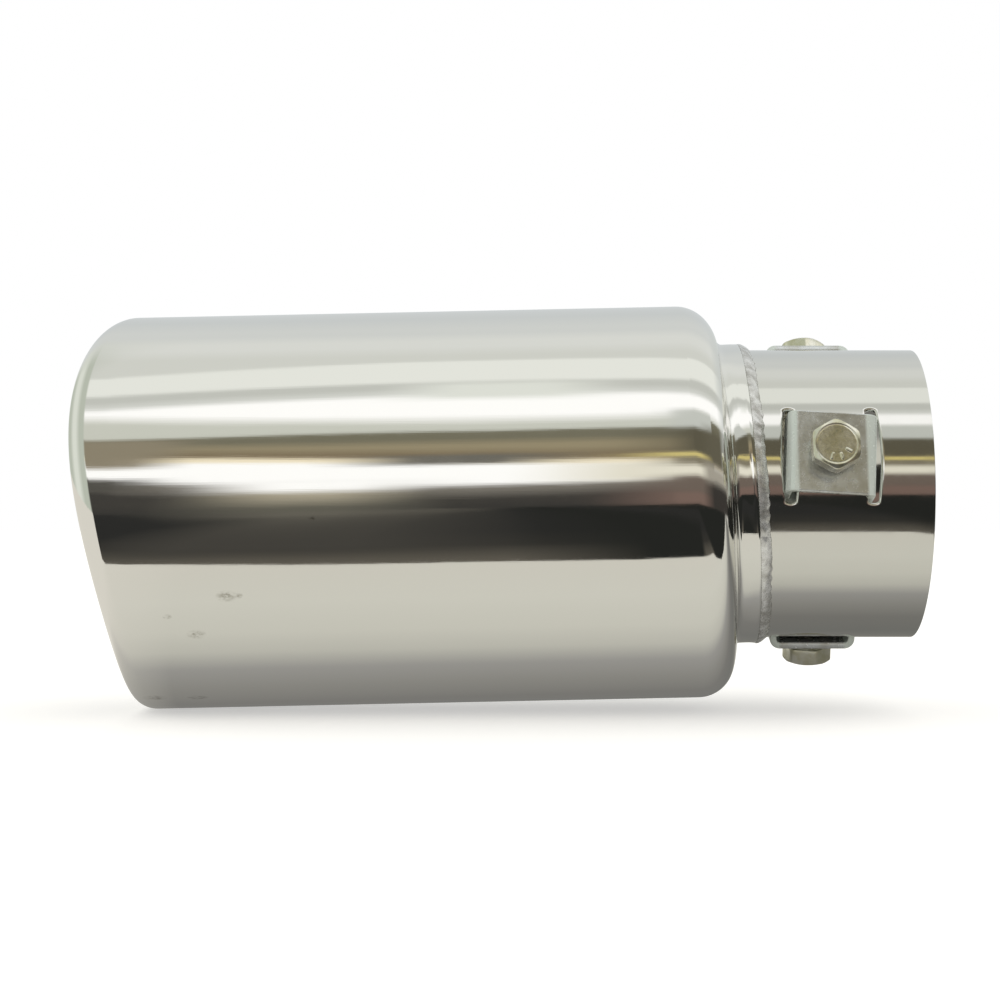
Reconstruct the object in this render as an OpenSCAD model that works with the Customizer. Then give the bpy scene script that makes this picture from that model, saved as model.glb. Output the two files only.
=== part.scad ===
// Universal exhaust tip of polished stainless steel, lying as it is fitted.
// X runs along the tailpipe: the inlet's mouth is at the origin and the outlet lies at -X.
// Angles round the pipe are read from -Y, and +90 degrees is straight up (+Z).

/* [Outlet can] */
// Outside diameter of the can
can_od = 88.5; // [75:0.5:115]
// Sheet thickness of the can and its neck
can_wall = 1.2; // [0.8:0.1:2]
// Distance from the inlet's mouth to the short side of the slash-cut outlet
outlet_reach = 174.6; // [130:0.1:240]
// How much further the outlet reaches on its long side
slash_depth = 10.2; // [0:0.1:30]
// Direction round the pipe in which the outlet reaches furthest
slash_dir = 33; // [-180:1:180]
// How sharply the rim runs out to its long side: 1 is a flat cut
slash_sharpness = 4; // [1:0.5:6]
// Outside radius of the lip that is rolled inwards
lip_radius = 4; // [2.5:0.1:6]
// How far round the lip is rolled
lip_turn = 205; // [120:5:240]
// Radius of the spun shoulder
shoulder_radius = 8.2; // [4:0.1:9.5]
// Radius of the hollow between shoulder and neck
throat_radius = 1.8; // [0.8:0.1:3]
// How far the can's axis lies below the tube's at the shoulder, as it was welded
can_drop = 1.7; // [0:0.1:2.5]
// How far the can hangs down towards its outlet, as it was welded
can_tilt = 1.2; // [0:0.1:2]
// How far the shoulder, neck and weld lean out of square, as they were welded
neck_lean = 3.7; // [0:0.1:4]
// Direction round the pipe in which they lean towards the inlet
lean_dir = -110; // [-180:1:180]

/* [Inlet tube] */
// Outside diameter of the inlet tube
tube_od = 65; // [55:0.5:70]
// Wall of the inlet tube
tube_wall = 1; // [0.8:0.1:2]
// Depth by which the mouth is reamed for the pipe's entry
mouth_ream = 0.35; // [0.35:0.05:0.6]
// Length of the reamed mouth
mouth_len = 10.5; // [4:0.5:11]
// Mean length of tube that shows beyond the weld
tube_out = 34.8; // [34:0.1:60]
// Length of tube inside the neck
tube_in = 13; // [9:0.5:20]
// Gap between the tube and the neck round it
neck_gap = 0.15; // [0.1:0.05:0.5]
// Length of the straight neck
neck_len = 3.4; // [2.5:0.1:12]

/* [Weld bead] */
// Length of the bead along the pipe
bead_len = 2.4; // [1.5:0.1:5]
// Spacing of the ripples round the bead
bead_pitch = 2.6; // [1.5:0.1:6]
// Height of the ripples
bead_ripple = 0.16; // [0:0.02:0.4]

/* [Clips] */
// Distance from the inlet's mouth to the middle of the clips
clip_back = 22; // [16:0.5:30]
// Direction of the front clip round the pipe
front_dir = 15; // [5:1:30]
// Direction of the top clip round the pipe
top_dir = 118; // [100:1:140]
// Direction of the bottom clip round the pipe
bottom_dir = -104.5; // [-130:0.5:-90]
// How far the front clip sits askew on the tube
front_twist = -3.5; // [-5:0.5:5]
// Length of a clip along the pipe
clip_len = 19.2; // [17:0.1:22]
// Width of the strip
strip_w = 17.8; // [13:0.1:20]
// Thickness of the strip
strip_t = 1.5; // [1:0.1:2]
// Outside radius of the strip's bends
bend_radius = 2.3; // [1.8:0.1:4]
// Length of each foot that is folded in under the nut
foot_len = 5.6; // [4.5:0.1:6]
// Gap between the strip and the top of the tube
clip_gap = 0.1; // [0.05:0.05:0.4]
// Width of the slots in the tube
slot_w = 3.4; // [3:0.1:5]
// Length of the slots across the tube
slot_len = 21.2; // [19:0.1:24]

/* [Bolts and nuts] */
// Nominal diameter of the bolts
bolt_d = 6; // [5:0.5:6]
// Shank length
bolt_len = 16; // [14:0.5:20]
// Width across flats of bolt heads and nuts
hex_flats = 10; // [9:0.5:11]
// Height of a bolt head
head_h = 4; // [3:0.1:5]
// Height of a nut
nut_h = 5; // [4:0.1:6]
// Gap all round between a bolt and its nut
thread_gap = 0.05; // [0.02:0.01:0.09]
// Diameter of the bolt holes in the tube and the strips
hole_d = 7; // [6.6:0.1:8]
// Height of the front bolt's head above its clip
front_lift = 2.5; // [0:0.1:4]
// Height of the top bolt's head above its clip
top_lift = 0.6; // [0:0.1:4]
// Height of the bottom bolt's head above its clip
bottom_lift = 1.4; // [0:0.1:4]
// How far the front bolt is turned
front_turn = 30; // [0:1:60]
// How far the top bolt is turned
top_turn = 38; // [0:1:60]
// How far the bottom bolt is turned
bottom_turn = 14; // [0:1:60]

/* [Hidden] */
$fn = 72;

steel = [0.78, 0.78, 0.76];
strip_steel = [0.62, 0.60, 0.54];
zinc = [0.60, 0.59, 0.50];
can_sides = 72;
turn_step = 15;
bead_steps = 4;
ripple_samples = 3;
eps = 1;

// Where the parts of the tube and the can lie along X; the weld always stays clear of the slots
tube_r = tube_od / 2;
bore_r = tube_r - tube_wall;
leg_mid = clip_len / 2 - strip_t / 2;
slots_end = clip_back + leg_mid + slot_w / 2 + tube_r * tan(neck_lean) + neck_gap;
bead_end = -max(tube_out, slots_end);
neck_end = bead_end - bead_len;
neck_start = neck_end - neck_len;
neck_in_r = tube_r + neck_gap;
neck_r = neck_in_r + can_wall;
can_r = can_od / 2;
shoulder_end = neck_start - throat_radius;
shoulder_start = shoulder_end - shoulder_radius;

// Heights above the pipe's axis of a clip and of what it holds
plate_low = tube_r + clip_gap;
plate_top = plate_low + strip_t;
nut_top = sqrt(pow(bore_r, 2) - pow(hex_flats / 2, 2)) - clip_gap;
nut_low = nut_top - nut_h;
foot_top = nut_low - clip_gap;
foot_low = foot_top - strip_t;
hex_r = hex_flats / 2 / cos(30);
thread_r = bolt_d / 2;

// Share of the can's drop: all of it up to 50 degrees of the shoulder, none from 50 degrees of the throat,
// which count on from 90
function ease(a) = let (u = min(max((140 - a) / 90, 0), 1)) u * u * (3 - 2 * u);

// A profile point is [x, radius, share of the slash, share of the can's drop]
function lip_arc(r, turns) = [for (a = turns)
    [-outlet_reach + lip_radius - r * sin(a), can_r - lip_radius + r * cos(a), 1, 1]];
function shoulder_arc(r, turns) = [for (a = turns)
    [shoulder_start + r * sin(a), can_r - shoulder_radius + r * cos(a), 0, ease(a)]];
function throat_arc(r, turns) = [for (a = turns)
    [neck_start - r * cos(a), neck_r + throat_radius - r * sin(a), 0, ease(90 + a)]];

lip_turns = [for (a = [lip_turn : -turn_step : 0.1]) a];
lip_back = [for (a = [0 : turn_step : lip_turn]) a];
shoulder_turns = [for (a = [0 : turn_step : 75]) a];
shoulder_back = [for (a = [75 : -turn_step : 0]) a];
throat_turns = [0, 30, 60, 90];

function can_profile() = concat(
    lip_arc(lip_radius, lip_turns),
    [[-outlet_reach + lip_radius, can_r, 1, 1]],
    shoulder_arc(shoulder_radius, shoulder_turns),
    throat_arc(throat_radius, throat_turns),
    [[neck_end, neck_r, 0, 0], [neck_end, neck_in_r, 0, 0]],
    throat_arc(throat_radius + can_wall, [90, 60, 30, 0]),
    shoulder_arc(shoulder_radius - can_wall, shoulder_back),
    lip_arc(lip_radius - can_wall, lip_back));

// How far a point at radius r and angle a is pushed towards the inlet by the lean
function lean(r, a) = r * tan(neck_lean) * cos(a - lean_dir);

// Turns one profile point round the pipe: slash and lean shear it along X, the drop moves it down
function can_point(p, a) = let (
    slash = slash_depth * p[1] / can_r * pow((1 + cos(a - slash_dir)) / 2, slash_sharpness),
    x = p[0] - p[2] * slash + (1 - p[2]) * lean(p[1], a),
    fall = p[3] * (can_drop + tan(can_tilt) * max(shoulder_end - x, 0)))
    [x, -p[1] * cos(a), p[1] * sin(a) - fall];

// Joins rings of points into one closed, ring-shaped skin
module ring_skin(rings) {
    n = len(rings);
    m = len(rings[0]);
    polyhedron(
        points = [for (ring = rings) each ring],
        faces = [for (i = [0 : n - 1], j = [0 : m - 1], half = [0, 1])
            let (i2 = (i + 1) % n, j2 = (j + 1) % m)
            half == 0 ? [i * m + j, i * m + j2, i2 * m + j]
                      : [i * m + j2, i2 * m + j2, i2 * m + j]],
        convexity = 6);
}

// Turns a clip's own frame, where Z points away from the pipe, to its place round the tube
module round_pipe(dir, twist = 0) {
    translate([-clip_back, 0, 0]) rotate([90 - dir, 0, 0]) rotate([0, 0, twist]) children();
}

// Outline of the bent strip, seen from the side
module strip_side() {
    // Half of the outline, from the plate down to the end of the foot
    module half() {
        difference() {
            translate([0, foot_low]) square([clip_len / 2, plate_top - foot_low]);
            translate([-eps, foot_top]) square([clip_len / 2 - strip_t + eps, plate_low - foot_top]);
            translate([-eps, foot_low - eps]) square([clip_len / 2 - foot_len + eps, strip_t + 2 * eps]);
            for (up = [-1, 1])
                translate([clip_len / 2 - bend_radius, up > 0 ? plate_top - bend_radius : foot_low + bend_radius])
                    difference() {
                        translate([0, up > 0 ? 0 : -bend_radius - eps])
                            square([bend_radius + eps, bend_radius + eps]);
                        circle(r = bend_radius);
                    }
        }
        // Rounds the inside of the two bends
        for (up = [-1, 1])
            translate([clip_len / 2 - bend_radius, up > 0 ? plate_top - bend_radius : foot_low + bend_radius])
                difference() {
                    translate([0, up > 0 ? 0 : strip_t - bend_radius])
                        square(bend_radius - strip_t);
                    circle(r = bend_radius - strip_t);
                }
    }
    half();
    mirror([1, 0]) half();
}

module clip(dir, twist) {
    round_pipe(dir, twist) difference() {
        translate([0, strip_w / 2, 0]) rotate([90, 0, 0]) linear_extrude(strip_w) strip_side();
        cylinder(d = hole_d, h = plate_top + eps);
    }
}

module hex_blank(height) {
    cylinder(r = hex_r, h = height, $fn = 6);
}

module nut(dir, twist) {
    round_pipe(dir, twist) translate([0, 0, nut_low]) difference() {
        hex_blank(nut_h);
        translate([0, 0, -eps]) cylinder(r = thread_r, h = nut_h + 2 * eps);
    }
}

// A hexagon bolt whose head is chamfered by a cone and stands clear of the clip
module bolt(dir, turn, lift) {
    round_pipe(dir, turn) translate([0, 0, plate_top + lift]) {
        intersection() {
            hex_blank(head_h);
            cylinder(r1 = hex_r + head_h * 1.6, r2 = hex_flats / 2 * 0.95, h = head_h);
        }
        translate([0, 0, -bolt_len]) cylinder(r = thread_r - thread_gap, h = bolt_len);
    }
}

// Two slots and a bolt hole for one clip
module clip_cuts(dir) {
    round_pipe(dir) {
        for (side = [-1, 1]) translate([side * leg_mid, 0, nut_top - eps]) linear_extrude(tube_r)
            for (end = [-1, 1]) half_slot(end);
        cylinder(d = hole_d, h = tube_r + eps);
    }
}

// One half of a slot's outline, with its round end
module half_slot(end) {
    straight = slot_len / 2 - slot_w / 2;
    translate([0, end * straight]) circle(d = slot_w);
    translate([-slot_w / 2, end > 0 ? 0 : -straight]) square([slot_w, straight]);
}

module outlet_can() {
    color(steel) ring_skin([for (p = can_profile())
        [for (k = [0 : can_sides - 1]) can_point(p, k * 360 / can_sides)]]);
}

module inlet_tube() {
    color(steel) difference() {
        translate([bead_end - tube_in, 0, 0]) rotate([0, 90, 0])
            cylinder(r = tube_r, h = tube_out + tube_in);
        translate([bead_end - tube_in - eps, 0, 0]) rotate([0, 90, 0])
            cylinder(r = bore_r, h = tube_out + tube_in + 2 * eps);
        translate([-mouth_len, 0, 0]) rotate([0, 90, 0])
            cylinder(r = bore_r + mouth_ream, h = mouth_len + eps);
        clip_cuts(front_dir);
        clip_cuts(top_dir);
        clip_cuts(bottom_dir);
    }
}

// A fillet of weld metal that fills the step from the neck down to the tube
module weld_bead() {
    waves = round(2 * PI * neck_r / bead_pitch);
    sides = waves * ripple_samples;
    low = tube_r + neck_gap / 3;
    rise = neck_r - low;
    color(steel) ring_skin(concat(
        [for (i = [0 : bead_steps]) let (u = i / bead_steps)
            [for (k = [0 : sides - 1]) let (
                a = k * 360 / sides,
                ripple = bead_ripple * sin(180 * u) * cos(waves * a + 60 * u),
                r = low + rise * (1 - pow(u, 1.6)) + ripple + bead_ripple * sin(180 * u))
                [neck_end + bead_len * u + neck_gap / 3 + lean(r, a), -r * cos(a), r * sin(a)]]],
        [[for (k = [0 : sides - 1]) let (a = k * 360 / sides, r = low - neck_gap / 6)
            [neck_end + neck_gap / 3 + lean(r, a), -r * cos(a), r * sin(a)]]]));
}

module clip_front() { color(strip_steel) clip(front_dir, front_twist); }
module clip_top() { color(strip_steel) clip(top_dir, 0); }
module clip_bottom() { color(strip_steel) clip(bottom_dir, 0); }
module nut_front() { color(zinc) nut(front_dir, front_twist); }
module nut_top() { color(zinc) nut(top_dir, 0); }
module nut_bottom() { color(zinc) nut(bottom_dir, 0); }
module bolt_front() { color(zinc) bolt(front_dir, front_turn, front_lift); }
module bolt_top() { color(zinc) bolt(top_dir, top_turn, top_lift); }
module bolt_bottom() { color(zinc) bolt(bottom_dir, bottom_turn, bottom_lift); }

outlet_can();
inlet_tube();
weld_bead();
clip_front();
clip_top();
clip_bottom();
nut_front();
nut_top();
nut_bottom();
bolt_front();
bolt_top();
bolt_bottom();
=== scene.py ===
# %% [markdown]
# # A polished exhaust tip
# The real thing is a can of thin stainless sheet, spun to a shoulder and a neck,
# welded onto a short inlet tube. Three bent clips sit in slots round the tube and
# carry the bolts that grip the tailpipe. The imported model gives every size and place,
# so this lesson only makes smoother skins for it and gives them their finish.

# %% Load the frame
import math

import bpy
import numpy as np
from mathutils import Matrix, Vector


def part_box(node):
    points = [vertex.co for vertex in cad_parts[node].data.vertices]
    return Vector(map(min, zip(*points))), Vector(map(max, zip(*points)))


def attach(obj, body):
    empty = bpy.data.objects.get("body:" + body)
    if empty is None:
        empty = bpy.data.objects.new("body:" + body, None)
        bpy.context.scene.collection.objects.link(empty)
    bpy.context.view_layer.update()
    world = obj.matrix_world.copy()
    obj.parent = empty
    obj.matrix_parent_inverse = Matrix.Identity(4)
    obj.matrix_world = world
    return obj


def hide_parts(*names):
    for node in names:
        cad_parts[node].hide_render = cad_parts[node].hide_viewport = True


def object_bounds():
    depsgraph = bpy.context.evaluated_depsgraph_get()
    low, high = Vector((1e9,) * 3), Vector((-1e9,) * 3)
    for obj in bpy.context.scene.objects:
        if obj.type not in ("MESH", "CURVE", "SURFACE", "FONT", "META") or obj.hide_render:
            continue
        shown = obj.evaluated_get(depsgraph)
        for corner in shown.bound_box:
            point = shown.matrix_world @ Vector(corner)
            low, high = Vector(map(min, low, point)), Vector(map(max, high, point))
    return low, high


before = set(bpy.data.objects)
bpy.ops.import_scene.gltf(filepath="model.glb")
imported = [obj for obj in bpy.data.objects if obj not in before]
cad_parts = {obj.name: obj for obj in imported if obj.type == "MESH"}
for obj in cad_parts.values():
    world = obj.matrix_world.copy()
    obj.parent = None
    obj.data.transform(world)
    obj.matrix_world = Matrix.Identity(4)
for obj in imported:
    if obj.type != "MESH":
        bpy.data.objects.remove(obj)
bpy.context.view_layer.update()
MM = 0.001
print("nodes in the frame:", len(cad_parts))

# %% [markdown]
# Every size below is a real one in millimetres. The tube's radius is read from the
# frame, and the others are the sizes that the model was drawn with.

# %% Sizes shared by several pieces
tube_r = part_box("inlet_tube")[1].z / MM
tube_wall = 1.0
mouth_ream, mouth_len = 0.35, 10.5
tube_out, tube_in = 34.8, 13.0
can_r, can_wall = 44.25, 1.2
outlet_reach, slash_depth, slash_dir, slash_sharpness = 174.6, 10.2, 33.0, 4
lip_radius, lip_turn, lip_stretch = 4.0, 205.0, 1.22
shoulder_radius, throat_radius = 8.2, 1.8
can_drop, can_tilt = 1.7, 1.2
neck_lean, lean_dir = 3.7, -110.0
neck_gap, neck_len = 0.15, 3.4
bead_len, bead_pitch = 2.4, 2.6

bore_r = tube_r - tube_wall
bead_end = -tube_out
neck_end = bead_end - bead_len
neck_start = neck_end - neck_len
neck_in_r = tube_r + neck_gap
neck_r = neck_in_r + can_wall
shoulder_end = neck_start - throat_radius
shoulder_start = shoulder_end - shoulder_radius

clip_back, clip_len, strip_w, strip_t = 22.0, 19.2, 17.8, 1.5
bend_radius, foot_len, clip_gap = 2.3, 5.6, 0.1
slot_w, slot_len, hole_d = 3.4, 21.2, 7.0
bolt_d, bolt_len, thread_pitch, thread_gap = 6.0, 16.0, 1.0, 0.05
hex_flats, head_h, nut_h = 10.0, 4.0, 5.0
plate_low = tube_r + clip_gap
plate_top = plate_low + strip_t
nut_low = math.sqrt(bore_r**2 - (hex_flats / 2) ** 2) - clip_gap - nut_h
foot_low = nut_low - clip_gap - strip_t
leg_mid = clip_len / 2 - strip_t / 2

# Direction round the pipe, twist of the clip, and lift and turn of the bolt's head
SETS = {
    "front": (15.0, -3.5, 2.5, 30.0),
    "top": (118.0, 0.0, 0.6, 38.0),
    "bottom": (-104.5, 0.0, 1.4, 14.0),
}
print(f"tube radius {tube_r:.2f} mm, neck radius {neck_r:.2f} mm")

# %% [markdown]
# All the skins are grids of points. One helper turns a grid into faces, one makes a
# mesh and lets it ride on its body in the place of its CAD node, and one turns a
# mesh the right way round by the sign of its volume.


# %% Helpers for meshes
def grid_faces(rows, columns, wrap_rows=False, wrap_columns=False):
    """Quads between neighbours of a grid whose points are numbered row by row."""
    i, j = np.meshgrid(np.arange(rows if wrap_rows else rows - 1),
                       np.arange(columns if wrap_columns else columns - 1), indexing="ij")
    i2, j2 = (i + 1) % rows, (j + 1) % columns
    quads = [i * columns + j, i * columns + j2, i2 * columns + j2, i2 * columns + j]
    return np.stack(quads, -1).reshape(-1, 4)


def merge(points, faces):
    """Joins points that lie at the same place and drops faces that lose their area.

    The third result numbers the points that are left.
    """
    rounded = np.round(points, 4)
    _, first, inverse = np.unique(rounded, axis=0, return_index=True, return_inverse=True)
    faces = inverse.reshape(-1)[faces]
    sides = faces != np.roll(faces, 1, axis=1)
    return points[first], [f[keep] for f, keep in zip(faces, sides) if keep.sum() > 2], first


def volume_of(points, faces):
    """Signed volume from the first three corners of each face, which is enough for its sign."""
    f = np.array([face[:4] if len(face) > 3 else [*face, face[2]] for face in faces])
    a, b, c, d = (points[f[:, k]] for k in range(4))
    halves = np.einsum("ij,ij->i", a, np.cross(b, c)) + np.einsum("ij,ij->i", a, np.cross(c, d))
    return halves.sum() / 6


def make_piece(name, points, faces, node, body, material, normals=None):
    """A smooth mesh of points in millimetres, which stands for a CAD node and rides on its body."""
    if volume_of(points, faces) < 0:
        faces = [face[::-1] for face in faces]
    mesh = bpy.data.meshes.new(name)
    mesh.from_pydata((points * MM).tolist(), [], [[int(i) for i in face] for face in faces])
    mesh.update()
    mesh.shade_smooth()
    if normals is not None:
        mesh.normals_split_custom_set_from_vertices(normals.tolist())
    mesh.materials.append(material)
    piece = bpy.data.objects.new(name, mesh)
    bpy.context.scene.collection.objects.link(piece)
    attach(piece, body)
    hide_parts(node)
    print(f"{name}: {len(mesh.vertices)} points, {len(mesh.polygons)} faces")
    return piece


# %% [markdown]
# ## The finishes
# The can is stainless steel that was buffed to a mirror along its length, so it has
# almost no colour of its own and shows the room. What makes it look real is what is
# not perfect: faint buffing lines, a slow waviness, and dull smudges from handling.
# One function turns a hex colour to linear light, and one adds a node of any kind.


# %% Helpers for materials
def linear(hex_colour):
    """An sRGB hex colour as linear red, green, blue and alpha."""
    srgb = np.array([int(hex_colour[i:i + 2], 16) / 255 for i in (1, 3, 5)])
    lin = np.where(srgb <= 0.04045, srgb / 12.92, ((srgb + 0.055) / 1.055) ** 2.4)
    return (*[float(v) for v in lin], 1.0)


def add(tree, kind, *inputs, **settings):
    """Adds a node with its settings and links.

    Inputs come in their order or by name, which has a capital, and the other settings are
    the node's properties. A node given as an input stands for its first output in use.
    """
    node = tree.nodes.new(kind)
    for key in [key for key in settings if key.islower()]:
        setattr(node, key, settings.pop(key))
    for key, value in [*enumerate(inputs), *settings.items()]:
        if isinstance(value, bpy.types.Node):
            value = next(output for output in value.outputs if output.enabled)
        if isinstance(value, bpy.types.NodeSocket):
            tree.links.new(value, node.inputs[key])
        else:
            node.inputs[key].default_value = value
    return node


def new_material(name):
    """A node material with nothing in it yet, its tree, and its object coordinates."""
    material = bpy.data.materials.new(name)
    material.use_nodes = True
    tree = material.node_tree
    tree.nodes.clear()
    return material, tree, add(tree, "ShaderNodeTexCoord").outputs["Object"]


def new_metal(name):
    """As new_material, with the coordinates in millimetres."""
    material, tree, place = new_material(name)
    return material, tree, add(tree, "ShaderNodeVectorMath", place, operation="SCALE", Scale=1 / MM)


def finish_metal(tree, colour, roughness, height, metres, metallic=1.0):
    """Ends a metal's tree. The normal tilts by the slope of a height that is metres at 1."""
    bump = add(tree, "ShaderNodeBump", Height=height, Strength=1.0, Distance=metres)
    shader = add(tree, "ShaderNodeBsdfPrincipled", colour,
                 Metallic=metallic, Roughness=roughness, Normal=bump)
    add(tree, "ShaderNodeOutputMaterial", shader)


def stretched_noise(tree, position, size, detail):
    """Noise whose grains measure size (x, y, z) in millimetres."""
    squeezed = add(tree, "ShaderNodeVectorMath", position, size, operation="DIVIDE")
    return add(tree, "ShaderNodeTexNoise", squeezed, Scale=1.0, Detail=detail, Roughness=0.55)


def fade(tree, value, stops):
    """Colours that follow a value through stops of (value, colour)."""
    low, high = stops[0][0], stops[-1][0]
    ramp = add(tree, "ShaderNodeValToRGB", add(tree, "ShaderNodeMapRange", value, low, high))
    marks = ramp.color_ramp.elements
    while len(marks) < len(stops):
        marks.new(0.5)
    for mark, (at, _) in zip(marks, stops):
        mark.position = (at - low) / (high - low)
    for mark, (_, colour) in zip(marks, stops):
        mark.color = linear(colour)
    return ramp


# %% [markdown]
# ### Mirror-polished stainless steel
# Chromium gives stainless steel a faintly warm grey. Buffing leaves lines a few
# hundredths of a millimetre wide; they are drawn wider here so that they show. The
# smudges sit where the real tip has them, most of them low on the outlet's side: each
# is a soft spot round a point, broken up by noise.


# %% The can's finish
SMUDGES = [  # x, y, z of the middle and radius, in millimetres
    (-150.1, -40.6, -21.6, 1.0), (-147.7, -40.6, -21.5, 0.5), (-162.8, -38.5, -26.0, 0.45),
    (-157.0, -36.0, -29.8, 0.9), (-168.5, -17.8, -44.9, 1.2), (-159.1, -17.5, -44.8, 1.0),
    (-131.9, -44.2, -5.2, 0.4),
]
smudge_stretch = (0.6, 1.0, 1.0)
smudge_roughness = 0.12
wave_height = 14.0


def polished_stainless():
    """Roughness is a slow haze plus the dirt's share; height is fine lines plus slow waves.

    The dirt is the strongest of the smudges, each fading from its middle, times a grain.
    """
    material, tree, position = new_metal("buffed_stainless")
    lines = stretched_noise(tree, position, (14.0, 0.22, 0.22), detail=2.0)
    waves = stretched_noise(tree, position, (45.0, 11.0, 11.0), detail=1.0)
    haze = stretched_noise(tree, position, (9.0, 6.0, 6.0), detail=5.0)
    speckle = stretched_noise(tree, position, (1.1, 0.6, 0.6), detail=3.0)
    spots = 0.0
    for x, y, z, radius in SMUDGES:
        away = add(tree, "ShaderNodeVectorMath", position, (x, y, z), operation="SUBTRACT")
        long = add(tree, "ShaderNodeVectorMath", away, smudge_stretch, operation="MULTIPLY")
        size = add(tree, "ShaderNodeVectorMath", long, operation="LENGTH")
        spot = add(tree, "ShaderNodeMapRange", size, 0.0, 1.5 * radius, 1.0, 0.0)
        spots = add(tree, "ShaderNodeMath", spots, spot, operation="MAXIMUM")
    grain = add(tree, "ShaderNodeMapRange", speckle, 0.40, 0.62, 0.1, 0.9)
    dirt = add(tree, "ShaderNodeMath", spots, grain, operation="MULTIPLY")
    colour = add(tree, "ShaderNodeMix", data_type="RGBA", Factor=dirt,
                 A=linear("#ebeae6"), B=linear("#8f8a7c"))
    clean = add(tree, "ShaderNodeMapRange", haze, 0.3, 0.75, 0.040, 0.075)
    rough = add(tree, "ShaderNodeMath", dirt, smudge_roughness, clean, operation="MULTIPLY_ADD")
    height = add(tree, "ShaderNodeMath", waves, wave_height, lines, operation="MULTIPLY_ADD")
    finish_metal(tree, colour, rough, height, 0.0000022)
    return material


can_finish = polished_stainless()

# %% [markdown]
# ### The inlet tube
# The tube is the same steel straight from the mill with a light polish. Its lines run
# round the tube and it is a little duller than the can.


# %% The tube's finish
def mill_stainless():
    """Roughness follows a slow haze, and height follows lines that run round the tube."""
    material, tree, position = new_metal("mill_stainless")
    lines = stretched_noise(tree, position, (0.25, 8.0, 8.0), detail=3.0)
    haze = stretched_noise(tree, position, (5.0, 5.0, 5.0), detail=4.0)
    rough = add(tree, "ShaderNodeMapRange", haze, 0.3, 0.7, 0.05, 0.10)
    finish_metal(tree, linear("#e2e1dc"), rough, lines, 0.000004)
    return material


tube_finish = mill_stainless()


# %% [markdown]
# ### Weld, strip and zinc
# The weld is brushed over, so it is uneven, with darker oxide in its hollows. The strip
# clips are plated steel with a painted highlight on their bends, which are paler and less
# metallic there, and the bolts are zinc plated with the faint yellow-green tint that chromate
# gives.


# %% The small parts' finishes
# Painted highlight on the clips' bends: its tint, its metallic, and the blur of its edges
painted_bend_highlight, painted_bend_metallic, bend_blur = "#d3dad2", 0.25, 0.3


def plated(name, pale, dark, rough_low, rough_high, grain_mm, bump_m, metallic, flat=None):
    """Two tints mixed by slow noise; finer noise gives both the roughness and the height.

    flat is the middle and half length in mm of a plate whose bends get a painted highlight: paler
    and duller.
    """
    material, tree, position = new_metal(name)
    patches = stretched_noise(tree, position, (grain_mm * 5,) * 3, detail=4.0)
    fine = stretched_noise(tree, position, (grain_mm,) * 3, detail=4.0)
    share = add(tree, "ShaderNodeMapRange", patches, 0.35, 0.65)
    tone = add(tree, "ShaderNodeMix", data_type="RGBA", Factor=share,
               A=linear(pale), B=linear(dark))
    rough = add(tree, "ShaderNodeMapRange", fine, 0.3, 0.7, rough_low, rough_high)
    if flat:
        middle, half = flat
        along = add(tree, "ShaderNodeSeparateXYZ", position).outputs["X"]
        moved = add(tree, "ShaderNodeMath", along, middle, operation="SUBTRACT")
        beside = add(tree, "ShaderNodeMath", moved, operation="ABSOLUTE")
        # Painted highlight: the bends turn paler and less metallic, where they catch the light
        bends = (half - bend_blur, half + bend_blur)
        share = add(tree, "ShaderNodeMapRange", beside, *bends)
        tone = add(tree, "ShaderNodeMix", data_type="RGBA", Factor=share,
                   A=tone, B=linear(painted_bend_highlight))
        metallic = add(tree, "ShaderNodeMapRange", beside, *bends, metallic, painted_bend_metallic)
    finish_metal(tree, tone, rough, fine, bump_m, metallic)
    return material


weld_finish = plated("brushed_weld", "#ececea", "#b3b1ab", 0.18, 0.34, 0.5, 0.000008, 0.65)
strip_finish = plated("tinted_strip_plating", "#dadddd", "#bdbcb4", 0.16, 0.30, 0.9, 0.000004, 0.72,
                      (-clip_back, clip_len / 2 - bend_radius))
zinc_finish = plated("yellow_chromate_zinc", "#e8e6d8", "#cfcbae", 0.12, 0.24, 0.6, 0.000004, 0.88)

# %% [markdown]
# ## The can
# The real can is one sheet: its outlet is cut at a slant and its edge rolled inwards,
# and its other end is spun down to the neck. The section of the sheet is a closed line
# of arcs, and the can is that line carried once round. The slash only slides each
# point along the pipe, most of all in one direction, so the wall stays a true cylinder.


# %% The can's section and skin
def arc(centre_x, centre_r, radius, start, end, steps):
    """Points on an arc of the section: x = cx + r sin(a), radius = cr + r cos(a)."""
    a = np.radians(np.linspace(start, end, steps))
    return np.stack([centre_x + radius * np.sin(a), centre_r + radius * np.cos(a)], -1)


def ease(degrees):
    """Share of the can's drop: u = (140 - a) / 90 held to 0..1, then u squared times (3 - 2 u).

    The shoulder counts from 0 to 90 degrees and the throat on from 90.
    """
    u = np.clip((140 - degrees) / 90, 0, 1)
    return u * u * (3 - 2 * u)


def lean(r, angle):
    """How far the shoulder, neck and weld lean to the inlet: r tan(lean) cos(a - direction)."""
    return r * math.tan(math.radians(neck_lean)) * np.cos(angle - math.radians(lean_dir))


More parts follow.
